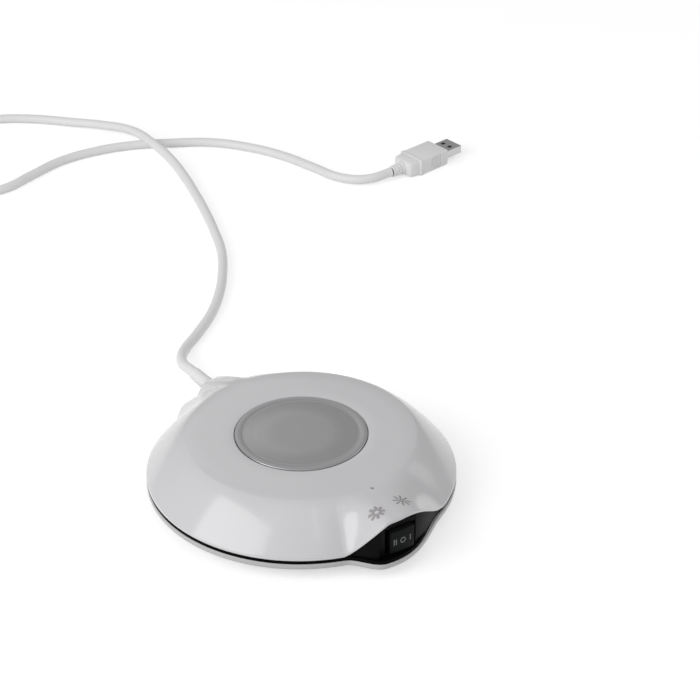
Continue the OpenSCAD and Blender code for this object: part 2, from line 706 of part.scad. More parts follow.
top_cover();
bottom_shell();
gap_ring();
switch_band();
switch_panel();
cord_panel();
switch_housing();
rocker_cap();
rocker_mark_high();
rocker_mark_off();
rocker_mark_low();
rocker_plunger();
rocker_spring();
contact_blade();
switch_terminals();
heater_plate();
heating_element();
insulation_pad();
pressure_plate();
heater_screws();
thermal_fuse();
fuse_clip();
control_board();
indicator_led();
led_resistor();
light_pipe();
wire_supply();
wire_return();
wire_high();
wire_low();
cord_clamp();
clamp_screws();
strain_relief();
inner_cord();
base_screws();
rubber_feet();
high_heat_mark();
low_heat_mark();
cord_lead_a();
cord_coil();
cord_lead_b();
plug_moulding();
plug_shell();
plug_tongue();
plug_contacts();
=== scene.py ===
from math import atan2, cos, degrees, hypot, pi, radians, sin

import bmesh
import bpy
from mathutils import Matrix, Vector


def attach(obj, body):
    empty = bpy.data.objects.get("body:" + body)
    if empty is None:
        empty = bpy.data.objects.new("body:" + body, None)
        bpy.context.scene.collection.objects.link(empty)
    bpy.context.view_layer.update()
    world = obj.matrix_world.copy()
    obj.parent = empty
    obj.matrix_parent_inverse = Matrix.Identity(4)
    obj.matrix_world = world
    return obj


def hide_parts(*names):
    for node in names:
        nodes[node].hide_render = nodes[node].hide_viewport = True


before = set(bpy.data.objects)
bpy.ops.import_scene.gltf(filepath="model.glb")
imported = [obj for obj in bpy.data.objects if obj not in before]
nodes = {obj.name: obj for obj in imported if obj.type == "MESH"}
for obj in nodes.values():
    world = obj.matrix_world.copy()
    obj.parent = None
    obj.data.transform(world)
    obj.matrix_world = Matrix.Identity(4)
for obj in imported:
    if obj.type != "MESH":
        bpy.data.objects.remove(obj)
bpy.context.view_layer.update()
print("frame loaded:", len(nodes), "nodes")

perMetre = 1000  # lengths are in millimetres, and each mesh is brought to metres when it is finished

# view of the object on its table
view = {"place": (-0.45644, -0.70685, 0.58756), "tilt": 58.5, "turn": -34.3, "lens": 119.21}
lensData = bpy.data.cameras.new("viewCamera")
lensData.lens = view["lens"]
lensData.sensor_width = 36
lensData.clip_start = 0.02
viewCamera = bpy.data.objects.new("viewCamera", lensData)
viewCamera.location = view["place"]
viewCamera.rotation_euler = (radians(view["tilt"]), 0, radians(view["turn"]))
bpy.context.scene.collection.objects.link(viewCamera)
bpy.context.scene.camera = viewCamera


def newGroup(name, inputs, outputs):
    group = bpy.data.node_groups.new(name, "ShaderNodeTree")
    for label, start in inputs:
        socket = group.interface.new_socket(name=label, in_out="INPUT", socket_type="NodeSocketFloat")
        socket.default_value = start
    for label in outputs:
        group.interface.new_socket(name=label, in_out="OUTPUT", socket_type="NodeSocketFloat")
    return group, group.nodes.new("NodeGroupInput"), group.nodes.new("NodeGroupOutput")


def addNode(tree, kind, links=(), **values):  # a value is a node's own setting or else an input socket
    made = tree.nodes.new(kind)
    for key, value in values.items():
        if hasattr(made, key):
            setattr(made, key, value)
        else:
            made.inputs[key.replace("_", " ")].default_value = value
    for target, source in links:
        tree.links.new(source, made.inputs[target])
    return made


usualBlotch = 25.0  # scale of the slow change of tone
usualStrength = 0.4  # of the bump
toneSpan = (0.3, 0.7)  # where most of the tone's noise lies


def makeMouldedGroup():  # fine skin of a moulded surface, and its slow change of tone
    group, given, out = newGroup("mouldedSkin", [("Grain", 900.0), ("Blotch", usualBlotch)],
                                 ["Height", "Tone", "Speck"])
    place = group.nodes.new("ShaderNodeTexCoord").outputs["Object"]
    grain, blotch = given.outputs["Grain"], given.outputs["Blotch"]
    fine = addNode(group, "ShaderNodeTexNoise", [("Vector", place), ("Scale", grain)], Detail=3.0)
    slow = addNode(group, "ShaderNodeTexNoise", [("Vector", place), ("Scale", blotch)],
                   Detail=5.0, Roughness=0.6)
    dots = addNode(group, "ShaderNodeTexVoronoi", [("Vector", place), ("Scale", grain)])
    near = addNode(group, "ShaderNodeMapRange", [("Value", dots.outputs["Distance"])],
                   From_Min=0.12, From_Max=0.3, To_Min=1.0, To_Max=0.0)
    group.links.new(fine.outputs["Fac"], out.inputs["Height"])
    group.links.new(slow.outputs["Fac"], out.inputs["Tone"])
    group.links.new(near.outputs["Result"], out.inputs["Speck"])
    return group


def makeTurnedGroup():  # rings left by turning, round the plate's axis
    group, given, out = newGroup("turnedRings", [("Pitch", 2600.0)], ["Height", "Tone"])
    place = group.nodes.new("ShaderNodeTexCoord").outputs["Object"]
    flat = addNode(group, "ShaderNodeVectorMath", [(0, place)], operation="MULTIPLY")
    flat.inputs[1].default_value = (1, 1, 0)
    far = addNode(group, "ShaderNodeVectorMath", [(0, flat.outputs["Vector"])], operation="LENGTH")
    ring = addNode(group, "ShaderNodeCombineXYZ", [("X", far.outputs["Value"])]).outputs["Vector"]
    lines = addNode(group, "ShaderNodeTexNoise", [("Vector", ring), ("Scale", given.outputs["Pitch"])],
                    Detail=2.0)
    broad = addNode(group, "ShaderNodeTexNoise", [("Vector", ring)], Scale=160.0)
    group.links.new(lines.outputs["Fac"], out.inputs["Height"])
    group.links.new(broad.outputs["Fac"], out.inputs["Tone"])
    return group


mouldedSkin = makeMouldedGroup()
turnedRings = makeTurnedGroup()


def shade(colour, amount):
    return tuple(min(1.0, max(0.0, c * amount)) for c in colour) + (1.0,)


# a look has a colour, least and most roughness, grain size and depth, and change of tone
def makeFinish(name, look):
    material = bpy.data.materials.new(name)
    material.use_nodes = True
    tree = material.node_tree
    shader = tree.nodes["Principled BSDF"]
    for socket, value in look.get("shader", {}).items():
        shader.inputs[socket].default_value = value
    shader.inputs["Metallic"].default_value = look.get("metallic", 0.0)
    skin = tree.nodes.new("ShaderNodeGroup")
    if look.get("turned"):
        skin.node_tree = turnedRings
        skin.inputs["Pitch"].default_value = look["turned"]
    else:
        skin.node_tree = mouldedSkin
        skin.inputs["Grain"].default_value = look["grain"][0]
        skin.inputs["Blotch"].default_value = look.get("blotch", usualBlotch)
    tint = tree.nodes.new("ShaderNodeMix")
    tint.data_type = "RGBA"
    tree.links.new(skin.outputs["Tone"], tint.inputs["Factor"])
    tint.inputs["A"].default_value = shade(look["colour"], 1 - look["tone"])
    tint.inputs["B"].default_value = shade(look["colour"], 1 + look["tone"])
    colour = tint.outputs["Result"]
    if look.get("speck"):  # a second colour in small spots
        spots = tree.nodes.new("ShaderNodeMix")
        spots.data_type = "RGBA"
        tree.links.new(skin.outputs["Speck"], spots.inputs["Factor"])
        tree.links.new(colour, spots.inputs["A"])
        spots.inputs["B"].default_value = tuple(look["speck"]) + (1.0,)
        colour = spots.outputs["Result"]
    tree.links.new(colour, shader.inputs["Base Color"])
    rough = addNode(tree, "ShaderNodeMapRange", [("Value", skin.outputs["Tone"])],
                    From_Min=toneSpan[0], From_Max=toneSpan[1],
                    To_Min=look["rough"][0], To_Max=look["rough"][1])
    tree.links.new(rough.outputs["Result"], shader.inputs["Roughness"])
    bump = addNode(tree, "ShaderNodeBump", [("Height", skin.outputs["Height"])],
                   Strength=look.get("strength", usualStrength), Distance=look["grain"][1] / perMetre)
    tree.links.new(bump.outputs["Normal"], shader.inputs["Normal"])
    return material


def makeBanded(name, stops, span, rough):  # colour bands along the length of a small part
    material = makeFinish(name, {"colour": (0.5, 0.5, 0.5), "rough": rough, "grain": (1500, 0.01),
                                 "tone": 0.05})
    tree = material.node_tree
    place = tree.nodes.new("ShaderNodeTexCoord")
    split = addNode(tree, "ShaderNodeSeparateXYZ", [("Vector", place.outputs["Object"])])
    along = addNode(tree, "ShaderNodeMapRange", [("Value", split.outputs["X"])],
                    From_Min=span[0] / perMetre, From_Max=span[1] / perMetre)
    ramp = addNode(tree, "ShaderNodeValToRGB", [("Fac", along.outputs["Result"])])
    ramp.color_ramp.interpolation = "CONSTANT"
    while len(ramp.color_ramp.elements) < len(stops):
        ramp.color_ramp.elements.new(0.5)
    for element, (at, colour) in zip(ramp.color_ramp.elements, stops):
        element.position = at
        element.color = tuple(colour) + (1.0,)
    tree.links.new(ramp.outputs["Color"], tree.nodes["Principled BSDF"].inputs["Base Color"])
    return material


finishes = {name: makeFinish(name, look) for name, look in {
    "coverWhite": {"colour": (0.7, 0.69, 0.705), "rough": (0.15, 0.22), "grain": (420, 0.02),
                   "tone": 0.012, "strength": 0.12, "shader": {"Coat Weight": 0.25, "Coat Roughness": 0.06}},
    # greyer than the cover's white: painted shade for the rim's upright face, set on the whole base
    "baseShadedWhite": {"colour": (0.56, 0.55, 0.555), "rough": (0.34, 0.44), "grain": (1600, 0.03), "tone": 0.02},
    "panelBlack": {"colour": (0.0068, 0.0064, 0.0066), "rough": (0.32, 0.42), "grain": (2400, 0.03),
                   "tone": 0.1, "shader": {"Specular IOR Level": 0.04}},
    "bandBlack": {"colour": (0.0058, 0.0052, 0.0052), "rough": (0.34, 0.44), "grain": (1800, 0.02),
                  "tone": 0.1, "shader": {"Specular IOR Level": 0.03}},
    # near-black: painted shade for the shadow in the seam between cover and rim
    "gapPaintedShade": {"colour": (0.0022, 0.002, 0.002), "rough": (0.5, 0.6), "grain": (1800, 0.02),
                 "tone": 0.1, "shader": {"Specular IOR Level": 0.03}},
    "switchBlack": {"colour": (0.003, 0.003, 0.0031), "rough": (0.36, 0.46), "grain": (2200, 0.03),
                    "tone": 0.1, "shader": {"Specular IOR Level": 0.05}},
    "rockerBlack": {"colour": (0.009, 0.0105, 0.0098), "rough": (0.42, 0.52), "grain": (2600, 0.05),
                    "tone": 0.08, "shader": {"Specular IOR Level": 0.06}},
    "markPale": {"colour": (0.155, 0.155, 0.155), "rough": (0.5, 0.6), "grain": (3000, 0.01), "tone": 0.06},
    "printGrey": {"colour": (0.39, 0.375, 0.385), "rough": (0.4, 0.5), "grain": (3000, 0.01), "tone": 0.05},
    "printDeep": {"colour": (0.27, 0.257, 0.263), "rough": (0.4, 0.5), "grain": (3000, 0.01), "tone": 0.05},
    "heaterFace": {"colour": (0.52, 0.52, 0.53), "rough": (0.26, 0.38), "grain": (1500, 0.02), "tone": 0.06,
                   "turned": 2600.0, "metallic": 0.85, "strength": 0.5},
    "springSteel": {"colour": (0.5, 0.5, 0.5), "rough": (0.25, 0.35), "grain": (2500, 0.02), "tone": 0.06,
                    "metallic": 1.0},
    "screwSteel": {"colour": (0.46, 0.46, 0.47), "rough": (0.28, 0.42), "grain": (1800, 0.03), "tone": 0.12,
                   "metallic": 1.0},
    "plateSteel": {"colour": (0.45, 0.46, 0.47), "rough": (0.3, 0.5), "grain": (300, 0.03), "tone": 0.2,
                   "blotch": 180.0, "metallic": 1.0},
    "plugSteel": {"colour": (0.56, 0.56, 0.57), "rough": (0.16, 0.26), "grain": (1800, 0.01), "tone": 0.05,
                  "metallic": 1.0},
    "contactBrass": {"colour": (0.7, 0.5, 0.22), "rough": (0.25, 0.38), "grain": (2000, 0.02), "tone": 0.1,
                     "metallic": 1.0},
    "contactGold": {"colour": (0.83, 0.6, 0.25), "rough": (0.18, 0.26), "grain": (2000, 0.01), "tone": 0.05,
                    "metallic": 1.0},
    "heatFoil": {"colour": (0.55, 0.36, 0.12), "rough": (0.3, 0.45), "grain": (260, 0.05), "tone": 0.15,
                 "speck": (0.3, 0.16, 0.05)},
    "woolCream": {"colour": (0.72, 0.68, 0.55), "rough": (0.85, 0.95), "grain": (700, 0.4), "tone": 0.15,
                  "strength": 0.8},
    "boardGreen": {"colour": (0.02, 0.13, 0.05), "rough": (0.3, 0.4), "grain": (600, 0.04), "tone": 0.15,
                   "speck": (0.4, 0.42, 0.38)},
    "ledRed": {"colour": (0.55, 0.03, 0.03), "rough": (0.1, 0.16), "grain": (1500, 0.01), "tone": 0.05,
               "shader": {"Transmission Weight": 0.5}},
    "pipeRose": {"colour": (0.4, 0.33, 0.36), "rough": (0.08, 0.14), "grain": (1500, 0.01), "tone": 0.05,
                 "shader": {"Transmission Weight": 0.1, "IOR": 1.49}},
    "wireRed": {"colour": (0.5, 0.02, 0.02), "rough": (0.35, 0.45), "grain": (1500, 0.03), "tone": 0.1},
    "wireBlack": {"colour": (0.015, 0.015, 0.016), "rough": (0.35, 0.45), "grain": (1500, 0.03), "tone": 0.1},
    "wireOrange": {"colour": (0.65, 0.2, 0.02), "rough": (0.35, 0.45), "grain": (1500, 0.03), "tone": 0.1},
    "wireYellow": {"colour": (0.7, 0.5, 0.04), "rough": (0.35, 0.45), "grain": (1500, 0.03), "tone": 0.1},
    "cordWhite": {"colour": (0.92, 0.915, 0.92), "rough": (0.36, 0.46), "grain": (900, 0.04), "tone": 0.02},
    "plugWhite": {"colour": (0.92, 0.91, 0.92), "rough": (0.34, 0.44), "grain": (1500, 0.03), "tone": 0.02},
    "footRubber": {"colour": (0.07, 0.07, 0.07), "rough": (0.7, 0.85), "grain": (1200, 0.08), "tone": 0.15},
    "tongueBlack": {"colour": (0.02, 0.02, 0.022), "rough": (0.4, 0.5), "grain": (1500, 0.03), "tone": 0.1},
}.items()}
tinnedEnd, resistorBody, fuseCoat = (0.6, 0.6, 0.62), (0.55, 0.4, 0.24), (0.62, 0.58, 0.46)
finishes["resistorTan"] = makeBanded("resistorTan", [
    (0.0, tinnedEnd), (0.17, resistorBody), (0.3, (0.5, 0.05, 0.02)), (0.37, resistorBody),
    (0.45, (0.3, 0.1, 0.5)), (0.52, resistorBody), (0.6, (0.2, 0.1, 0.04)), (0.67, resistorBody),
    (0.72, (0.6, 0.4, 0.05)), (0.77, resistorBody), (0.83, tinnedEnd)], (-8.5, 0.5), (0.3, 0.4))
finishes["fuseBody"] = makeBanded("fuseBody", [
    (0.0, tinnedEnd), (0.24, fuseCoat), (0.42, (0.1, 0.1, 0.1)), (0.46, fuseCoat), (0.76, tinnedEnd)],
    (-8.5, 8.5), (0.35, 0.5))
print("finishes made:", len(finishes))

smoothUnder = 38  # degrees between two faces that shade as one
hardOver = 40  # degrees at an edge that gets eased
flatUnder = 0.6  # degrees between triangles that become one face
spinWeld, nodeWeld = 0.0005, 0.002  # points this close become one


def addPiece(name, bm, finish, stands, body="housing"):
    bmesh.ops.scale(bm, vec=(1 / perMetre,) * 3, verts=bm.verts)
    mesh = bpy.data.meshes.new(name)
    bm.to_mesh(mesh)
    bm.free()
    mesh.shade_smooth()
    mesh.set_sharp_from_angle(angle=radians(smoothUnder))
    mesh.materials.append(finishes[finish])
    made = bpy.data.objects.new(name, mesh)
    bpy.context.scene.collection.objects.link(made)
    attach(made, body)
    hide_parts(stands)
    return made


def joinInto(bm, part, matrix=None):  # adds a finished shape to a larger mesh
    if matrix:
        bmesh.ops.transform(part, matrix=matrix, verts=part.verts)
    shape = bpy.data.meshes.new("shape")
    part.to_mesh(shape)
    part.free()
    bm.from_mesh(shape)
    bpy.data.meshes.remove(shape)


def placeAt(far, turn):  # a place round the plate's axis
    a = radians(turn)
    return Matrix.Translation((far * cos(a), far * sin(a), 0))


def softCorners(points, steps=4):  # points of (x, z, radius), with a radius of 0 for a sharp corner
    out = []
    for i, (x, z, radius) in enumerate(points):
        if not radius:
            out.append((x, z))
            continue
        here = Vector((x, z))
        before = Vector(points[i - 1][:2]) - here
        after = Vector(points[(i + 1) % len(points)][:2]) - here
        a = here + before.normalized() * min(radius, before.length * 0.49)
        b = here + after.normalized() * min(radius, after.length * 0.49)
        for k in range(steps + 1):
            t = k / steps
            out.append(tuple(a * (1 - t) ** 2 + here * 2 * t * (1 - t) + b * t * t))
    return out


# tagged keeps each vertex's place in the profile, for followOutline
def spinProfile(profile, closed=False, steps=96, sweep=360.0, start=0.0, tagged=False):
    bm = bmesh.new()
    place = bm.verts.layers.int.new("place") if tagged else None
    ring = [bm.verts.new((x, 0, z)) for x, z in profile]
    if tagged:
        for i, vert in enumerate(ring):
            vert[place] = i
    lines = [bm.edges.new(pair) for pair in zip(ring, ring[1:])]
    if closed:
        lines.append(bm.edges.new((ring[-1], ring[0])))
    if start:
        bmesh.ops.rotate(bm, cent=(0, 0, 0), matrix=Matrix.Rotation(radians(start), 3, "Z"), verts=ring)
    full = sweep == 360.0
    bmesh.ops.spin(bm, geom=ring + lines, cent=(0, 0, 0), axis=(0, 0, 1), angle=radians(sweep),
                   steps=steps, use_merge=full, use_normal_flip=False)
    bmesh.ops.remove_doubles(bm, verts=bm.verts, dist=spinWeld)
    if not full:
        bmesh.ops.holes_fill(bm, edges=[e for e in bm.edges if e.is_boundary], sides=0)
    bmesh.ops.recalc_face_normals(bm, faces=bm.faces)
    return bm


def roundedBox(size, at, radius, segments=3):
    bm = bmesh.new()
    bmesh.ops.create_cube(bm, size=1)
    bmesh.ops.scale(bm, vec=size, verts=bm.verts)
    if radius:
        bmesh.ops.bevel(bm, geom=bm.edges[:], offset=radius, offset_type="OFFSET", affect="EDGES",
                        segments=segments, profile=0.5, material=-1, clamp_overlap=True)
    bmesh.ops.translate(bm, vec=at, verts=bm.verts)
    return bm


def carve(bm, cutter):  # takes the cutter's shapes out of one closed shape
    pair = []
    for name, shape in (("carved", bm), ("cutter", cutter)):
        mesh = bpy.data.meshes.new(name)
        shape.to_mesh(mesh)
        shape.free()
        pair.append(bpy.data.objects.new(name, mesh))
        bpy.context.scene.collection.objects.link(pair[-1])
    cut = pair[0].modifiers.new("cut", "BOOLEAN")
    cut.object = pair[1]
    cut.solver = "EXACT"
    bpy.context.view_layer.update()
    shown = pair[0].evaluated_get(bpy.context.evaluated_depsgraph_get()).to_mesh()
    out = bmesh.new()
    out.from_mesh(shown)
    for tool in pair:
        bpy.data.objects.remove(tool)
    return out


def mergedCopy(node, edge, segments=2):  # a node's mesh in one skin, with its hard edges eased
    bm = bmesh.new()
    bm.from_mesh(nodes[node].data)
    bmesh.ops.scale(bm, vec=(perMetre,) * 3, verts=bm.verts)
    bmesh.ops.remove_doubles(bm, verts=bm.verts, dist=nodeWeld)
    bmesh.ops.dissolve_limit(bm, angle_limit=radians(flatUnder), verts=bm.verts, edges=bm.edges)
    bmesh.ops.recalc_face_normals(bm, faces=bm.faces)
    if edge:
        hard = [e for e in bm.edges if len(e.link_faces) == 2 and e.calc_face_angle(0) > radians(hardOver)]
        bmesh.ops.bevel(bm, geom=hard, offset=edge, offset_type="OFFSET", affect="EDGES",
                        segments=segments, profile=0.5, material=-1, clamp_overlap=True)
    bmesh.ops.triangulate(bm, faces=[f for f in bm.faces if len(f.verts) > 4])
    return bm


# one free cord from the rear pod through a coil to the plug
lead = {
    "thick": 5.0, "long": 1190,
    "exit": (0, 72.9, 13.4),
    "relief": [(0, 72.9, 13.4), (0, 82, 13.4), (0, 90.9, 13.4), (0, 94.9, 13.3)],
    "routeA": [(2, 104, 10.5), (7, 115, 6.5), (15, 126, 3.2), (28, 136, 2.5), (43, 148, 2.5),
               (58, 164, 2.5), (71, 182, 2.5), (82, 201, 2.5), (90, 221, 2.5), (97, 241, 2.5),
               (103, 261, 2.5), (108, 281, 3.5), (111, 302, 5.5), (111, 322, 7.3), (109, 341, 7.5),
               (101, 360, 5.5), (90, 378, 3.2), (75, 395, 2.5), (57, 407, 2.5), (36, 414, 2.5)],
    "coil": {"middle": (1, 390), "start": 66.7, "turns": 2.367, "perTurn": 24,
             "outer": 32.5, "inner": 25, "inwards": 1.5, "climb": (1.25, 0.4)},
    "routeB": [(-25, 361, 4.5), (-15, 342, 2.5), (1, 331, 2.5), (20, 327, 2.5), (41, 333, 2.5),
               (62, 339, 2.5), (83, 339, 2.5), (104, 334, 2.5), (124, 324, 2.5), (143, 312, 2.5),
               (158, 294, 2.5), (168, 274, 2.5), (174, 253, 2.5), (179, 235, 2.7), (189, 223, 3.8),
               (204, 221, 4.75)],
}


def ease(t):
    t = min(1.0, max(0.0, t))
    return t * t * (3 - 2 * t)


def coilPoints(coil, thick):  # winds inwards on the table, then outwards on top of those turns
    points = []
    count = round(coil["turns"] * coil["perTurn"])
    for i in range(count + 1):
        t = coil["turns"] * i / count
        a = radians(coil["start"] + 360 * t)
        if t < coil["inwards"]:
            far = coil["outer"] - thick * t
        else:
            far = coil["inner"] + thick * (t - coil["inwards"])
        high = thick / 2 + thick * ease((t - coil["climb"][0]) / coil["climb"][1])
        points.append((coil["middle"][0] + far * cos(a), coil["middle"][1] + far * sin(a), high))
    return points


leadPoints = lead["relief"] + lead["routeA"] + coilPoints(lead["coil"], lead["thick"]) + lead["routeB"]
leadCurve = bpy.data.curves.new("leadCord", "CURVE")
leadCurve.dimensions = "3D"
leadCurve.bevel_depth = lead["thick"] / 2 / perMetre
leadCurve.bevel_resolution = 6
leadCurve.use_fill_caps = True
leadLine = leadCurve.splines.new("BEZIER")
leadLine.bezier_points.add(len(leadPoints) - 1)
leadLine.resolution_u = 6
for bend, at in zip(leadLine.bezier_points, leadPoints):
    bend.co = Vector(at) / perMetre
    bend.handle_left_type = bend.handle_right_type = "AUTO"
bpy.context.view_layer.update()
for bend in leadLine.bezier_points:  # no bend dips into the table
    bend.handle_left_type = bend.handle_right_type = "FREE"
    for handle in (bend.handle_left, bend.handle_right):
        handle.z = max(handle.z, leadCurve.bevel_depth)
leadCurve.materials.append(finishes["cordWhite"])
leadCord = bpy.data.objects.new("leadCord", leadCurve)
bpy.context.scene.collection.objects.link(leadCord)
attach(leadCord, "housing")
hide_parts("cord_lead_a", "cord_coil", "cord_lead_b")
print("lead laid:", len(leadPoints), "points")

# plug block with a ringed tail, a rib across it and finger grooves
plug = {
    "at": (204, 221), "turn": 8, "high": 4.75, "long": 36, "wide": 17, "thick": 9.5,
    "tail": {"bore": 2.45, "tip": 3.0, "rings": 3, "first": 1.2, "pitch": 2.0, "growth": 0.12,
             "ring": [(0, 3.1, 0.15), (0.25, 2.75, 0.1), (0.85, 2.75, 0.1), (1.1, 3.2, 0.15)],
             "end": 8.6, "endFar": 3.9},
    "rear": {"start": 8, "long": 6, "sink": 3, "wide": 15.6, "thick": 8.9, "round": 1.5, "draw": (0.22, 0.1)},
    "rib": {"start": 14.4, "long": 3.0, "round": 0.9},
    "main": {"sink": 1, "inset": (0.7, 0.3), "round": 1.1},
    "grooves": {"first": 23.4, "pitch": 1.55, "count": 5, "long": 0.7, "deep": 1.7, "short": 1.3},
    "mouth": {"size": (9, 12.15, 4.65), "deep": 6.9},
    "catches": {"size": (2.4, 2.2, 1.0), "along": 6.2, "apart": 2.6, "high": 2.2},
}
plugPlace = Matrix.Translation(plug["at"] + (plug["high"],)) @ Matrix.Rotation(radians(plug["turn"]), 4, "Z")


def makePlug():
    bm = bmesh.new()
    tail, rear, rib, main = plug["tail"], plug["rear"], plug["rib"], plug["main"]
    line = [(tail["bore"], 0, 0), (tail["tip"], 0, 0.3)]
    for i in range(tail["rings"]):
        z, growth = tail["first"] + i * tail["pitch"], tail["growth"] * i
        line += [(far + growth, z + up, radius) for up, far, radius in tail["ring"]]
    line += [(tail["endFar"], tail["end"], 0), (tail["bore"], tail["end"], 0)]
    sleeve = spinProfile(softCorners(line, steps=2), closed=True, steps=40)
    joinInto(bm, sleeve, Matrix.Rotation(radians(90), 4, "Y"))
    long = rear["long"] + rear["sink"]
    step = roundedBox((long, rear["wide"], rear["thick"]), (rear["start"] + long / 2, 0, 0), rear["round"], 4)
    for vert in step.verts:  # the rear step draws in towards the cord
        t = max(0.0, 1 - (vert.co.x - rear["start"]) / rear["long"])
        vert.co.y *= 1 - rear["draw"][0] * t * t
        vert.co.z *= 1 - rear["draw"][1] * t * t
    joinInto(bm, step)
    joinInto(bm, roundedBox((plug["long"] - rib["start"] - main["sink"], plug["wide"] - main["inset"][0],
                             plug["thick"] - main["inset"][1]),
                            ((plug["long"] + rib["start"] + main["sink"]) / 2, 0, 0), main["round"], 4))
    joinInto(bm, roundedBox((rib["long"], plug["wide"], plug["thick"]),
                            (rib["start"] + rib["long"] / 2, 0, 0), rib["round"], 3))
    return bm


def plugCutter():
    bm = bmesh.new()
    grooves, mouth = plug["grooves"], plug["mouth"]
    for i in range(grooves["count"]):  # upright finger grooves on both narrow sides
        for side in (-1, 1):
            at = (grooves["first"] + i * grooves["pitch"], side * (plug["wide"] / 2), 0)
            size = (grooves["long"], grooves["deep"], plug["thick"] - grooves["short"])
            joinInto(bm, roundedBox(size, at, 0))
    joinInto(bm, roundedBox(mouth["size"], (plug["long"] - mouth["deep"] + mouth["size"][0] / 2, 0, 0), 0))
    bmesh.ops.transform(bm, matrix=plugPlace, verts=bm.verts)
    return bm


def catchCutter():  # square catches in both faces of the shell
    bm = bmesh.new()
    catches = plug["catches"]
    for side in (-1, 1):
        for row in (-1, 1):
            at = (plug["long"] + catches["along"], row * catches["apart"], side * catches["high"])
            joinInto(bm, roundedBox(catches["size"], at, 0))
    bmesh.ops.transform(bm, matrix=plugPlace, verts=bm.verts)
    return bm


plugMesh = makePlug()
bmesh.ops.transform(plugMesh, matrix=plugPlace, verts=plugMesh.verts)
plugBody = addPiece("plugBody", carve(plugMesh, plugCutter()), "plugWhite", "plug_moulding")
shellMesh = carve(mergedCopy("plug_shell", 0.06), catchCutter())
plugShell = addPiece("plugShell", shellMesh, "plugSteel", "plug_shell")
print("plug made")

# ribbed sleeve where the lead leaves the rear pod
relief = {"face": 72.9, "long": 18, "high": 13.4, "bore": 2.55, "flange": (4.4, -3.3, -1.82),
          "neck": (3.0, -1.8), "collar": (3.7, 0.02, 2.0), "ribs": 6, "firstRib": 2.9, "pitch": 2.3,
          "ribFar": 3.42, "taper": 0.47, "tip": 2.95,
          "rib": [(0, 0, 0.2), (0.35, 0.42, 0.15), (1.0, 0.42, 0.15), (1.35, 0.03, 0.2)]}


def makeRelief():
    bore, long = relief["bore"], relief["long"]
    flange, back, front = relief["flange"]
    neck, neckBack = relief["neck"]
    collar, collarBack, collarFront = relief["collar"]
    line = [(bore, back, 0), (flange, back, 0.2), (flange, front, 0.2), (neck, neckBack, 0),
            (neck, collarBack, 0), (collar, collarBack, 0.2), (collar, collarFront, 0.35)]
    for i in range(relief["ribs"]):  # soft ribs round the sleeve, as a real one has to let it bend
        z = relief["firstRib"] + i * relief["pitch"]
        far = relief["ribFar"] - relief["taper"] * (z - collarFront) / (long - collarFront)
        line += [(far - dip, z + up, radius) for up, dip, radius in relief["rib"]]
    line += [(relief["tip"], long, 0.25), (bore, long, 0)]
    bm = spinProfile(softCorners(line, steps=2), closed=True, steps=64)
    lay = Matrix.Translation((0, relief["face"], relief["high"])) @ Matrix.Rotation(radians(-90), 4, "X")
    bmesh.ops.transform(bm, matrix=lay, verts=bm.verts)
    return bm


strainRelief = addPiece("strainRelief", makeRelief(), "cordWhite", "strain_relief")
print("strain relief made")

# outline of the plate and its two pods, which cover and base share
plate = {"wide": 136, "edge": 11, "crown": 18.8, "flat": 50, "wall": 1.6, "lip": 1, "power": 1.3,
         "slack": 0.45, "bulge": 7.8, "rimOut": 1.2, "rearBulge": 7.0, "rearArch": 6.5}
topZ = plate["edge"] + plate["crown"]
archRise = plate["crown"] - plate["wall"]
# direction of each pod's middle, ends of its crest and ends of its feet, in degrees
pods = {
    "switchBulge": (-93.8, (1.5, 0.5), (14, 33)), "rearBulge": (90, (10.5, 10.5), (25.5, 25.5)),
    "switchArch": (-89.5, (4, 0), (19.2, 32.3)), "rearArch": (90, (2.5, 2.5), (8, 8))}


def swell(a, pod):  # 1 over the crest of a pod and 0 past its feet
    middle, crest, foot = pods[pod]
    turn = (a - middle + 180) % 360 - 180
    side = 0 if turn < 0 else 1
    t = min(1.0, max(0.0, (abs(turn) - crest[side]) / (foot[side] - crest[side])))
    return (1 + cos(pi * t)) / 2


def edgeFar(a):
    return plate["wide"] / 2 + max(plate["bulge"] * swell(a, "switchBulge"),
                                   plate["rearBulge"] * swell(a, "rearBulge"))


def rimFar(a):  # the base's rim stands past the cover on the switch's pod
    return edgeFar(a) + plate["rimOut"] * swell(a, "switchBulge")


def archLift(a):
    return max(archRise * swell(a, "switchArch"), plate["rearArch"] * swell(a, "rearArch"))


def lipHigh(a):
    return plate["lip"] + (plate["wall"] - plate["lip"]) * archLift(a) / archRise


def crownZ(far, a):
    low = plate["edge"] + archLift(a) + lipHigh(a)
    t = min(1.0, max(0.0, (far - plate["flat"]) / (edgeFar(a) - plate["flat"])))
    return topZ - (topZ - low) * t ** plate["power"]


def direction(vert):
    return degrees(atan2(vert.co.y, vert.co.x))


def followOutline(bm, section):  # moves a plain spun ring to the section of each direction
    place = bm.verts.layers.int["place"]
    made = {}
    for vert in bm.verts:
        a = direction(vert)
        key = round(a, 3)
        if key not in made:
            made[key] = section(a)
        far, z = made[key][vert[place]]
        vert.co = (far * cos(radians(a)), far * sin(radians(a)), z)


# cover: a thin shell round the heater, with screw posts and a guide for the light pipe below
cover = {"hole": 29.3, "ledge": 26.5, "ledgeZ": 28.4, "ringLow": 26.2, "ringFar": 33, "flatRings": (36, 43),
         "slope": 26, "lipRound": (0.7, 0.25), "bosses": (20, 160, 200, 340), "bossAt": 46, "bossLow": 7,
         "bossFar": 3.4, "bossTaper": 0.3, "bossHole": 1.3, "eye": (1.6, -51.9), "eyeHole": 0.75,
         "eyeLow": 28, "guideFar": 2.2, "guideLow": 23.2}
eyePlace = cover["eye"] + (0,)
insideSkin = topZ - 1  # where posts end, within the cover's wall


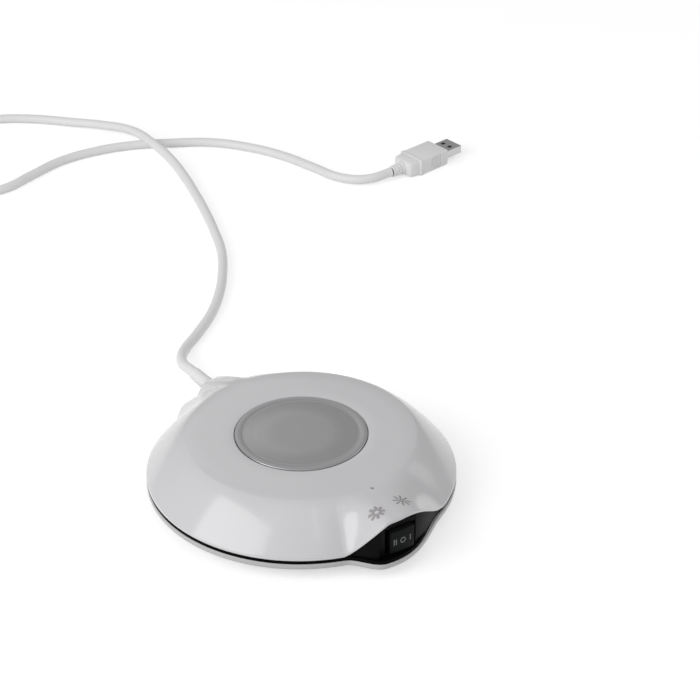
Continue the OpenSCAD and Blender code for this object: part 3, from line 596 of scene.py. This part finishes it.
def coverSection(a):
    e, low, wall, flat = edgeFar(a), plate["edge"] + archLift(a), plate["wall"], plate["flat"]
    slack = plate["slack"] * (1 - archLift(a) / archRise)
    outer, inner = cover["lipRound"]
    line = [(cover["hole"], cover["ledgeZ"], 0), (cover["hole"], topZ, 0.4)]
    line += [(far, topZ, 0) for far in cover["flatRings"]]
    for k in range(cover["slope"]):
        far = flat + (e - flat) * k / cover["slope"]
        line.append((far, crownZ(far, a), 0))
    line += [(e, low + lipHigh(a), outer), (e, low, inner), (e - wall, low, 0)]
    for k in range(cover["slope"] - 1, -1, -2):
        t = k / cover["slope"]
        far = flat + (e - wall - flat) * t
        lowest = low + 0.001 * (k + 1)  # the inner points stay apart at the lip
        line.append((far, max(lowest, crownZ(far, a) - wall * (1 + slack * t)), 0))
    line += [(cover["ringFar"], topZ - wall, 0), (cover["ringFar"], cover["ringLow"], 0.2),
             (cover["ledge"], cover["ringLow"], 0.2), (cover["ledge"], cover["ledgeZ"], 0)]
    return softCorners(line)


coverMesh = spinProfile(coverSection(0), closed=True, steps=720, tagged=True)
followOutline(coverMesh, coverSection)
eyeHole = spinProfile([(0, cover["eyeLow"]), (cover["eyeHole"], cover["eyeLow"]),
                       (cover["eyeHole"], topZ + 1), (0, topZ + 1)], steps=32)
bmesh.ops.translate(eyeHole, vec=eyePlace, verts=eyeHole.verts)
coverMesh = carve(coverMesh, eyeHole)
for turn in cover["bosses"]:  # screw posts under the top
    post = spinProfile([(cover["bossHole"], cover["bossLow"]), (cover["bossFar"], cover["bossLow"]),
                        (cover["bossFar"] + cover["bossTaper"], insideSkin),
                        (cover["bossHole"], insideSkin)], closed=True, steps=40)
    joinInto(coverMesh, post, placeAt(cover["bossAt"], turn))
guide = spinProfile([(cover["eyeHole"], cover["guideLow"]), (cover["guideFar"], cover["guideLow"]),
                     (cover["guideFar"], insideSkin), (cover["eyeHole"], insideSkin)], closed=True, steps=32)
joinInto(coverMesh, guide, Matrix.Translation(eyePlace))
coverShell = addPiece("coverShell", coverMesh, "coverWhite", "top_cover")
print("cover made:", len(coverShell.data.polygons), "faces")

# base: a shallow tray with a rim, posts and a saddle for the cord, its small shapes as (far, z) profiles
base = {"floorZ": 2, "wall": 2, "floorFar": 58, "recess": (24, 36, 0.3), "heel": 45, "innerFar": 57,
        "rimTop": 9.2, "rimLow": 6.2, "rimRound": 0.8, "rimWall": 2.2, "weld": 0.001,
        "screws": (20, 160, 200, 340), "screwAt": 46, "feet": (45, 135, 225, 315), "footAt": 49,
        "screwCut": [(0, 1), (3.4, 1), (2.9, 2.4), (2.9, 4.1), (1.55, 4.1), (1.55, 8), (0, 8)],
        "footCut": [(0, 1), (5.3, 1), (5.1, 2.2), (5.1, 2.8), (0, 2.8)],
        "screwPost": [(1.55, 3.6), (4.6, 3.6), (4.4, 7), (1.55, 7)],
        "boardPost": [(0, 3.6), (2.6, 3.6), (2.4, 12), (1.0, 12), (1.0, 14.2), (0, 14.2)],
        "boardPosts": [(-11.5, -46.5), (11.5, -46.5)],
        "sills": [(-9.9, 3.9, -74.9, -71.1), (3.7, 6.5, -74.0, -71.1), (6.3, 9.9, -73.3, -71.1),
                  (-9.9, 9.9, 71.1, 73.3)], "sillHigh": 3.0, "sillZ": 7.88, "saddleAt": 58,
        "saddleSide": {"size": (6.4, 6, 9.9), "out": 5.8, "z": 8.45},
        "saddleMiddle": {"size": (7, 6, 7.2), "z": 7.1}}


def baseSection(a):
    e, low, top = rimFar(a), base["floorZ"], base["floorZ"] + base["wall"]
    near, far, deep = base["recess"]
    inner, shoulder = e - base["rimWall"], base["rimLow"] + base["rimRound"]
    return softCorners([
        (0, low, 0), (near, low, 0), (near + deep, low + deep, 0), (far, low + deep, 0), (far + deep, low, 0),
        (base["heel"], low, 0), (base["floorFar"], low, 1.6), (e - base["rimRound"], base["rimLow"], 0.5),
        (e, shoulder, 0.7), (e, base["rimTop"], 0.4), (inner, base["rimTop"], 0.3), (inner, shoulder, 0.5),
        (base["innerFar"], top, 1.0), (0, top, 0)])


baseMesh = spinProfile(baseSection(0), steps=720, tagged=True)
followOutline(baseMesh, baseSection)
bmesh.ops.remove_doubles(baseMesh, verts=baseMesh.verts, dist=base["weld"])
cutter = bmesh.new()
for turn in base["screws"]:  # countersunk recess and hole of each screw
    joinInto(cutter, spinProfile(base["screwCut"], steps=40), placeAt(base["screwAt"], turn))
for turn in base["feet"]:
    joinInto(cutter, spinProfile(base["footCut"], steps=48), placeAt(base["footAt"], turn))
baseMesh = carve(baseMesh, cutter)
for left, right, near, far in base["sills"]:  # step of the rim that a flat panel stands on
    joinInto(baseMesh, roundedBox((right - left, far - near, base["sillHigh"]),
                                  ((left + right) / 2, (near + far) / 2, base["sillZ"]), 0.1))
for turn in base["screws"]:
    joinInto(baseMesh, spinProfile(base["screwPost"], closed=True, steps=40), placeAt(base["screwAt"], turn))
for x, y in base["boardPosts"]:
    joinInto(baseMesh, spinProfile(base["boardPost"], steps=32), Matrix.Translation((x, y, 0)))
saddle = base["saddleSide"]
for side in (-1, 1):  # saddle under the cord's clamp, either side of the cord
    at = (side * saddle["out"], base["saddleAt"], saddle["z"])
    joinInto(baseMesh, roundedBox(saddle["size"], at, 0.2))
saddle = base["saddleMiddle"]
joinInto(baseMesh, roundedBox(saddle["size"], (0, base["saddleAt"], saddle["z"]), 0.1))
# the base's greyer white is painted shade for its rim
baseShell = addPiece("baseShell", baseMesh, "baseShadedWhite", "bottom_shell")
print("base made:", len(baseShell.data.polygons), "faces")

# black bands beside the switch panel, under the arch of the cover
band = {"reach": 38, "edge": 9.92, "low": 11.02, "inset": 0.6, "thick": 2.2, "clear": 0.03}


def bandSection(a):
    e = edgeFar(a)
    front, back = e - band["inset"], e - band["thick"]
    top = plate["edge"] + archLift(a) - band["clear"]
    return softCorners([(back, band["low"], 0), (front, band["low"], 0.15), (front, top, 0.15),
                        (back, top, 0)], steps=2)


bandMesh = bmesh.new()
for side in (-1, 1):
    half = spinProfile(bandSection(0), closed=True, steps=4 * band["reach"], sweep=2.0 * band["reach"],
                       start=-90 - band["reach"], tagged=True)
    followOutline(half, bandSection)
    bmesh.ops.bisect_plane(half, geom=half.verts[:] + half.edges[:] + half.faces[:], dist=1e-5,
                           plane_co=(side * band["edge"], 0, 0), plane_no=(-side, 0, 0), clear_outer=True)
    bmesh.ops.holes_fill(half, edges=[e for e in half.edges if e.is_boundary], sides=0)
    bmesh.ops.recalc_face_normals(half, faces=half.faces)
    joinInto(bandMesh, half)
addPiece("switchBand", bandMesh, "bandBlack", "switch_band")
print("bands made")

# black ring in the gap, painted shade: near-black, it stands for the shadow in the seam between cover and
# rim, and its ledge in front of the switch panel for the shade on the rim's top. Waves of (middle, reach,
# step) set it back beside the switch and forward left of it
gap = {"low": 9.2, "foot": 0.5, "skin": 1.3, "forward": 0.15, "waves": [(-68, 20, -1.05), (-102, 14, 0.25)]}


def wave(a, middle, reach):
    return (1 + cos(pi * min(1.0, abs(a - middle) / reach))) / 2


gapMesh = mergedCopy("gap_ring", 0)
for vert in gapMesh.verts:
    far, a = hypot(vert.co.x, vert.co.y), direction(vert)
    if vert.co.z < gap["low"] + gap["foot"]:
        vert.co.z = gap["low"]
    if far > rimFar(a) - gap["skin"]:
        move = gap["forward"]
        for middle, reach, step in gap["waves"]:
            move += step * wave(a, middle, reach)
        vert.co.x += move * cos(radians(a))
        vert.co.y += move * sin(radians(a))
# its near-black finish is painted shade in the seam
addPiece("gapShadeRing", gapMesh, "gapPaintedShade", "gap_ring")
print("gap ring made")

# nodes whose shape is right, with the radius that eases their hard edges
eased = {
    "switch_panel": ("panelBlack", "band_black", 0.22), "cord_panel": ("panelBlack", "band_black", 0.22),
    "switch_housing": ("switchBlack", "switch_black", 0.12), "rubber_feet": ("footRubber", "feet_grey", 0.5),
    "base_screws": ("screwSteel", "steel", 0.12), "heater_screws": ("screwSteel", "steel", 0.12),
    "clamp_screws": ("screwSteel", "steel", 0.12), "cord_clamp": ("plugWhite", "shell_white", 0.3),
    "pressure_plate": ("plateSteel", "steel", 0.15), "fuse_clip": ("springSteel", "steel", 0.1)}
for node, (finish, slot, edge) in eased.items():
    first, second = node.split("_")
    addPiece(first + second.title(), mergedCopy(node, edge), finish, node)
addPiece("rockerCap", mergedCopy("rocker_cap", 0.38, 3), "rockerBlack", "rocker_cap", "rocker")
print("nodes eased:", len(eased) + 1)

# heater plate with a fine groove near its edge
heater = {"far": 29, "low": 28.4, "top": 30.2, "groove": 25.2, "grooveTop": 0.8, "grooveFoot": 0.45,
          "grooveDeep": 0.14, "middle": 14}


def makeHeater():
    far, low, top, groove = heater["far"], heater["low"], heater["top"], heater["groove"]
    foot, bottom = heater["grooveFoot"], top - heater["grooveDeep"]
    return spinProfile(softCorners([
        (0, low, 0), (far, low, 0.2), (far, top, 0.5), (groove + heater["grooveTop"], top, 0),
        (groove + foot, bottom, 0.1), (groove - foot, bottom, 0.1), (groove - heater["grooveTop"], top, 0),
        (heater["middle"], top, 0), (0, top, 0)]), steps=256)


addPiece("heaterPlate", makeHeater(), "heaterFace", "heater_plate")

# clear pipe that carries the light up to the cover's skin
pipe = {"far": 0.7, "low": 17.9, "collarFar": 1.3, "collarTop": 18.9, "domeFar": 0.4,
        "dome": (-0.02, 0.14, 0.17)}  # heights of the dome's foot, shoulder and peak over the cover
eyeTop = crownZ(hypot(*cover["eye"]), degrees(atan2(cover["eye"][1], cover["eye"][0])))
foot, shoulder, peak = (eyeTop + rise for rise in pipe["dome"])
eyeMesh = spinProfile(softCorners([
    (0, pipe["low"], 0), (pipe["collarFar"], pipe["low"], 0.1), (pipe["collarFar"], pipe["collarTop"], 0.1),
    (pipe["far"], pipe["collarTop"], 0), (pipe["far"], foot, 0), (pipe["domeFar"], shoulder, 0.15),
    (0, peak, 0)]), steps=40)
bmesh.ops.translate(eyeMesh, vec=eyePlace, verts=eyeMesh.verts)
addPiece("eyeLens", eyeMesh, "pipeRose", "light_pipe")
print("heater and light made")

# the two sun prints beside the switch: ring from and to, ray from, to and width, rounding of its corners
suns = {"sunBold": {"node": "high_heat_mark", "finish": "printGrey", "at": (-6.4, -66.7),
                    "ring": (0.9, 1.7), "ray": (1.4, 3.6, 1.3), "round": 0.5},
        "sunFine": {"node": "low_heat_mark", "finish": "printDeep", "at": (7.3, -65.2),
                    "ring": (0.55, 1.05), "ray": (1.5, 3.9, 0.6), "round": 0.18}}
printLow, printTop, rayCount = -0.05, 0.1, 8
for name, sun in suns.items():
    bm = bmesh.new()
    inner, outer = sun["ring"]
    joinInto(bm, spinProfile([(inner, printLow), (outer, printLow), (outer, printTop), (inner, printTop)],
                             closed=True, steps=48))
    start, end, wide = sun["ray"]
    for i in range(rayCount):
        ray = bmesh.new()
        bmesh.ops.create_cube(ray, size=1)
        bmesh.ops.scale(ray, vec=(end - start, wide, printTop - printLow), verts=ray.verts)
        upright = [e for e in ray.edges if abs(e.verts[0].co.z - e.verts[1].co.z) > printTop / 2]
        bmesh.ops.bevel(ray, geom=upright, offset=sun["round"], affect="EDGES", segments=4, profile=0.5,
                        material=-1)
        bmesh.ops.translate(ray, vec=((start + end) / 2, 0, (printLow + printTop) / 2), verts=ray.verts)
        joinInto(bm, ray, Matrix.Rotation(radians(360 / rayCount * (i + 0.5)), 4, "Z"))
    bmesh.ops.triangulate(bm, faces=bm.faces)
    bmesh.ops.translate(bm, vec=sun["at"] + (0,), verts=bm.verts)
    for vert in bm.verts:  # laid on the slope
        vert.co.z += crownZ(hypot(vert.co.x, vert.co.y), direction(vert))
    addPiece(name, bm, sun["finish"], sun["node"])
print("prints made")

# finishes of the nodes that keep their own mesh
kept = {"rocker_mark_high": "markPale", "rocker_mark_off": "markPale", "rocker_mark_low": "markPale",
        "rocker_plunger": "springSteel", "rocker_spring": "springSteel", "contact_blade": "contactBrass",
        "switch_terminals": "contactBrass", "heating_element": "heatFoil", "insulation_pad": "woolCream",
        "thermal_fuse": "fuseBody", "control_board": "boardGreen", "indicator_led": "ledRed",
        "led_resistor": "resistorTan", "wire_supply": "wireRed", "wire_return": "wireBlack",
        "wire_high": "wireOrange", "wire_low": "wireYellow", "inner_cord": "cordWhite",
        "plug_tongue": "tongueBlack", "plug_contacts": "contactGold"}
for node, finish in kept.items():
    if not nodes[node].material_slots:
        nodes[node].data.materials.append(finishes[finish])
    for socket in nodes[node].material_slots:
        socket.material = finishes[finish]
print("kept nodes finished:", len(kept))

# floor and world: half size of the floor in metres, its colour and glow, the world's light and its look
studio = {"floor": 6.0, "floorColour": 0.8, "floorGlow": 0.5, "world": 0.41, "seen": 1.0}


def eitherRay(tree, *kinds):  # 1 for a ray of any of these kinds
    path = tree.nodes.new("ShaderNodeLightPath")
    found = path.outputs[kinds[0]]
    for kind in kinds[1:]:
        found = addNode(tree, "ShaderNodeMath", [(0, found), (1, path.outputs[kind])],
                        operation="MAXIMUM").outputs[0]
    return found


def makeFloorFinish():  # white to the eye, still takes a shadow, and clear from below
    material = bpy.data.materials.new("studioFloor")
    material.use_nodes = True
    tree = material.node_tree
    tree.nodes.clear()
    out = tree.nodes.new("ShaderNodeOutputMaterial")
    paper = addNode(tree, "ShaderNodeBsdfDiffuse", Color=(studio["floorColour"],) * 3 + (1,))
    glow = addNode(tree, "ShaderNodeEmission", Color=(1, 1, 1, 1))
    seen = eitherRay(tree, "Is Camera Ray", "Is Glossy Ray", "Is Transmission Ray")
    amount = addNode(tree, "ShaderNodeMath", [(0, seen)], operation="MULTIPLY")
    amount.inputs[1].default_value = studio["floorGlow"]
    tree.links.new(amount.outputs[0], glow.inputs["Strength"])
    both = addNode(tree, "ShaderNodeAddShader", [(0, paper.outputs[0]), (1, glow.outputs[0])])
    clear = addNode(tree, "ShaderNodeBsdfTransparent")
    under = tree.nodes.new("ShaderNodeNewGeometry")
    side = addNode(tree, "ShaderNodeMixShader", [(0, under.outputs["Backfacing"]), (1, both.outputs[0]),
                                                 (2, clear.outputs[0])])
    tree.links.new(side.outputs[0], out.inputs["Surface"])
    return material


def makeWorld():  # plain light, white where it is seen
    world = bpy.data.worlds.new("studioWorld")
    world.use_nodes = True
    tree = world.node_tree
    tree.nodes.clear()
    out = tree.nodes.new("ShaderNodeOutputWorld")
    level = addNode(tree, "ShaderNodeMapRange",
                    [("Value", eitherRay(tree, "Is Camera Ray", "Is Transmission Ray"))],
                    To_Min=studio["world"], To_Max=studio["seen"])
    sky = addNode(tree, "ShaderNodeBackground", [("Strength", level.outputs["Result"])], Color=(1, 1, 1, 1))
    tree.links.new(sky.outputs[0], out.inputs["Surface"])
    return world


floorMesh = bpy.data.meshes.new("studioFloor")
bm = bmesh.new()
bmesh.ops.create_grid(bm, x_segments=1, y_segments=1, size=studio["floor"])
bm.to_mesh(floorMesh)
bm.free()
floorMesh.materials.append(makeFloorFinish())
studioFloor = bpy.data.objects.new("studioFloor", floorMesh)
bpy.context.scene.collection.objects.link(studioFloor)
bpy.context.scene.world = makeWorld()

# lamps round the plate: direction, height above the table, distance, width, height, power
lamps = {
    "keyWindow": (-90, 31, 1.6, 1.25, 1.1, 11.8),
    "frontPaneA": (-40, 50, 1.4, 0.95, 1.1, 1.35),
    "frontPaneB": (-20, 56, 1.4, 0.035, 0.6, 0.16),
    "frontPaneC": (10, 48, 1.4, 0.45, 0.9, 0.3),
    "rightFill": (72, 26, 1.6, 1.0, 0.8, 2.0),
    "backPane": (162, 34, 1.8, 0.8, 0.5, 0.45),
    "topFill": (20, 80, 1.6, 1.2, 1.2, 0.25),
}
for name, (azimuth, elevation, far, wide, high, power) in lamps.items():
    lampData = bpy.data.lights.new(name, "AREA")
    lampData.shape = "RECTANGLE"
    lampData.size, lampData.size_y, lampData.energy = wide, high, power
    lamp = bpy.data.objects.new(name, lampData)
    a, e = radians(azimuth), radians(elevation)
    lamp.location = (far * sin(a) * cos(e), -far * cos(a) * cos(e), far * sin(e))
    lamp.rotation_euler = (-lamp.location).to_track_quat("-Z", "Y").to_euler()
    bpy.context.scene.collection.objects.link(lamp)

bpy.context.scene.view_settings.view_transform = "Standard"
print("studio lit")
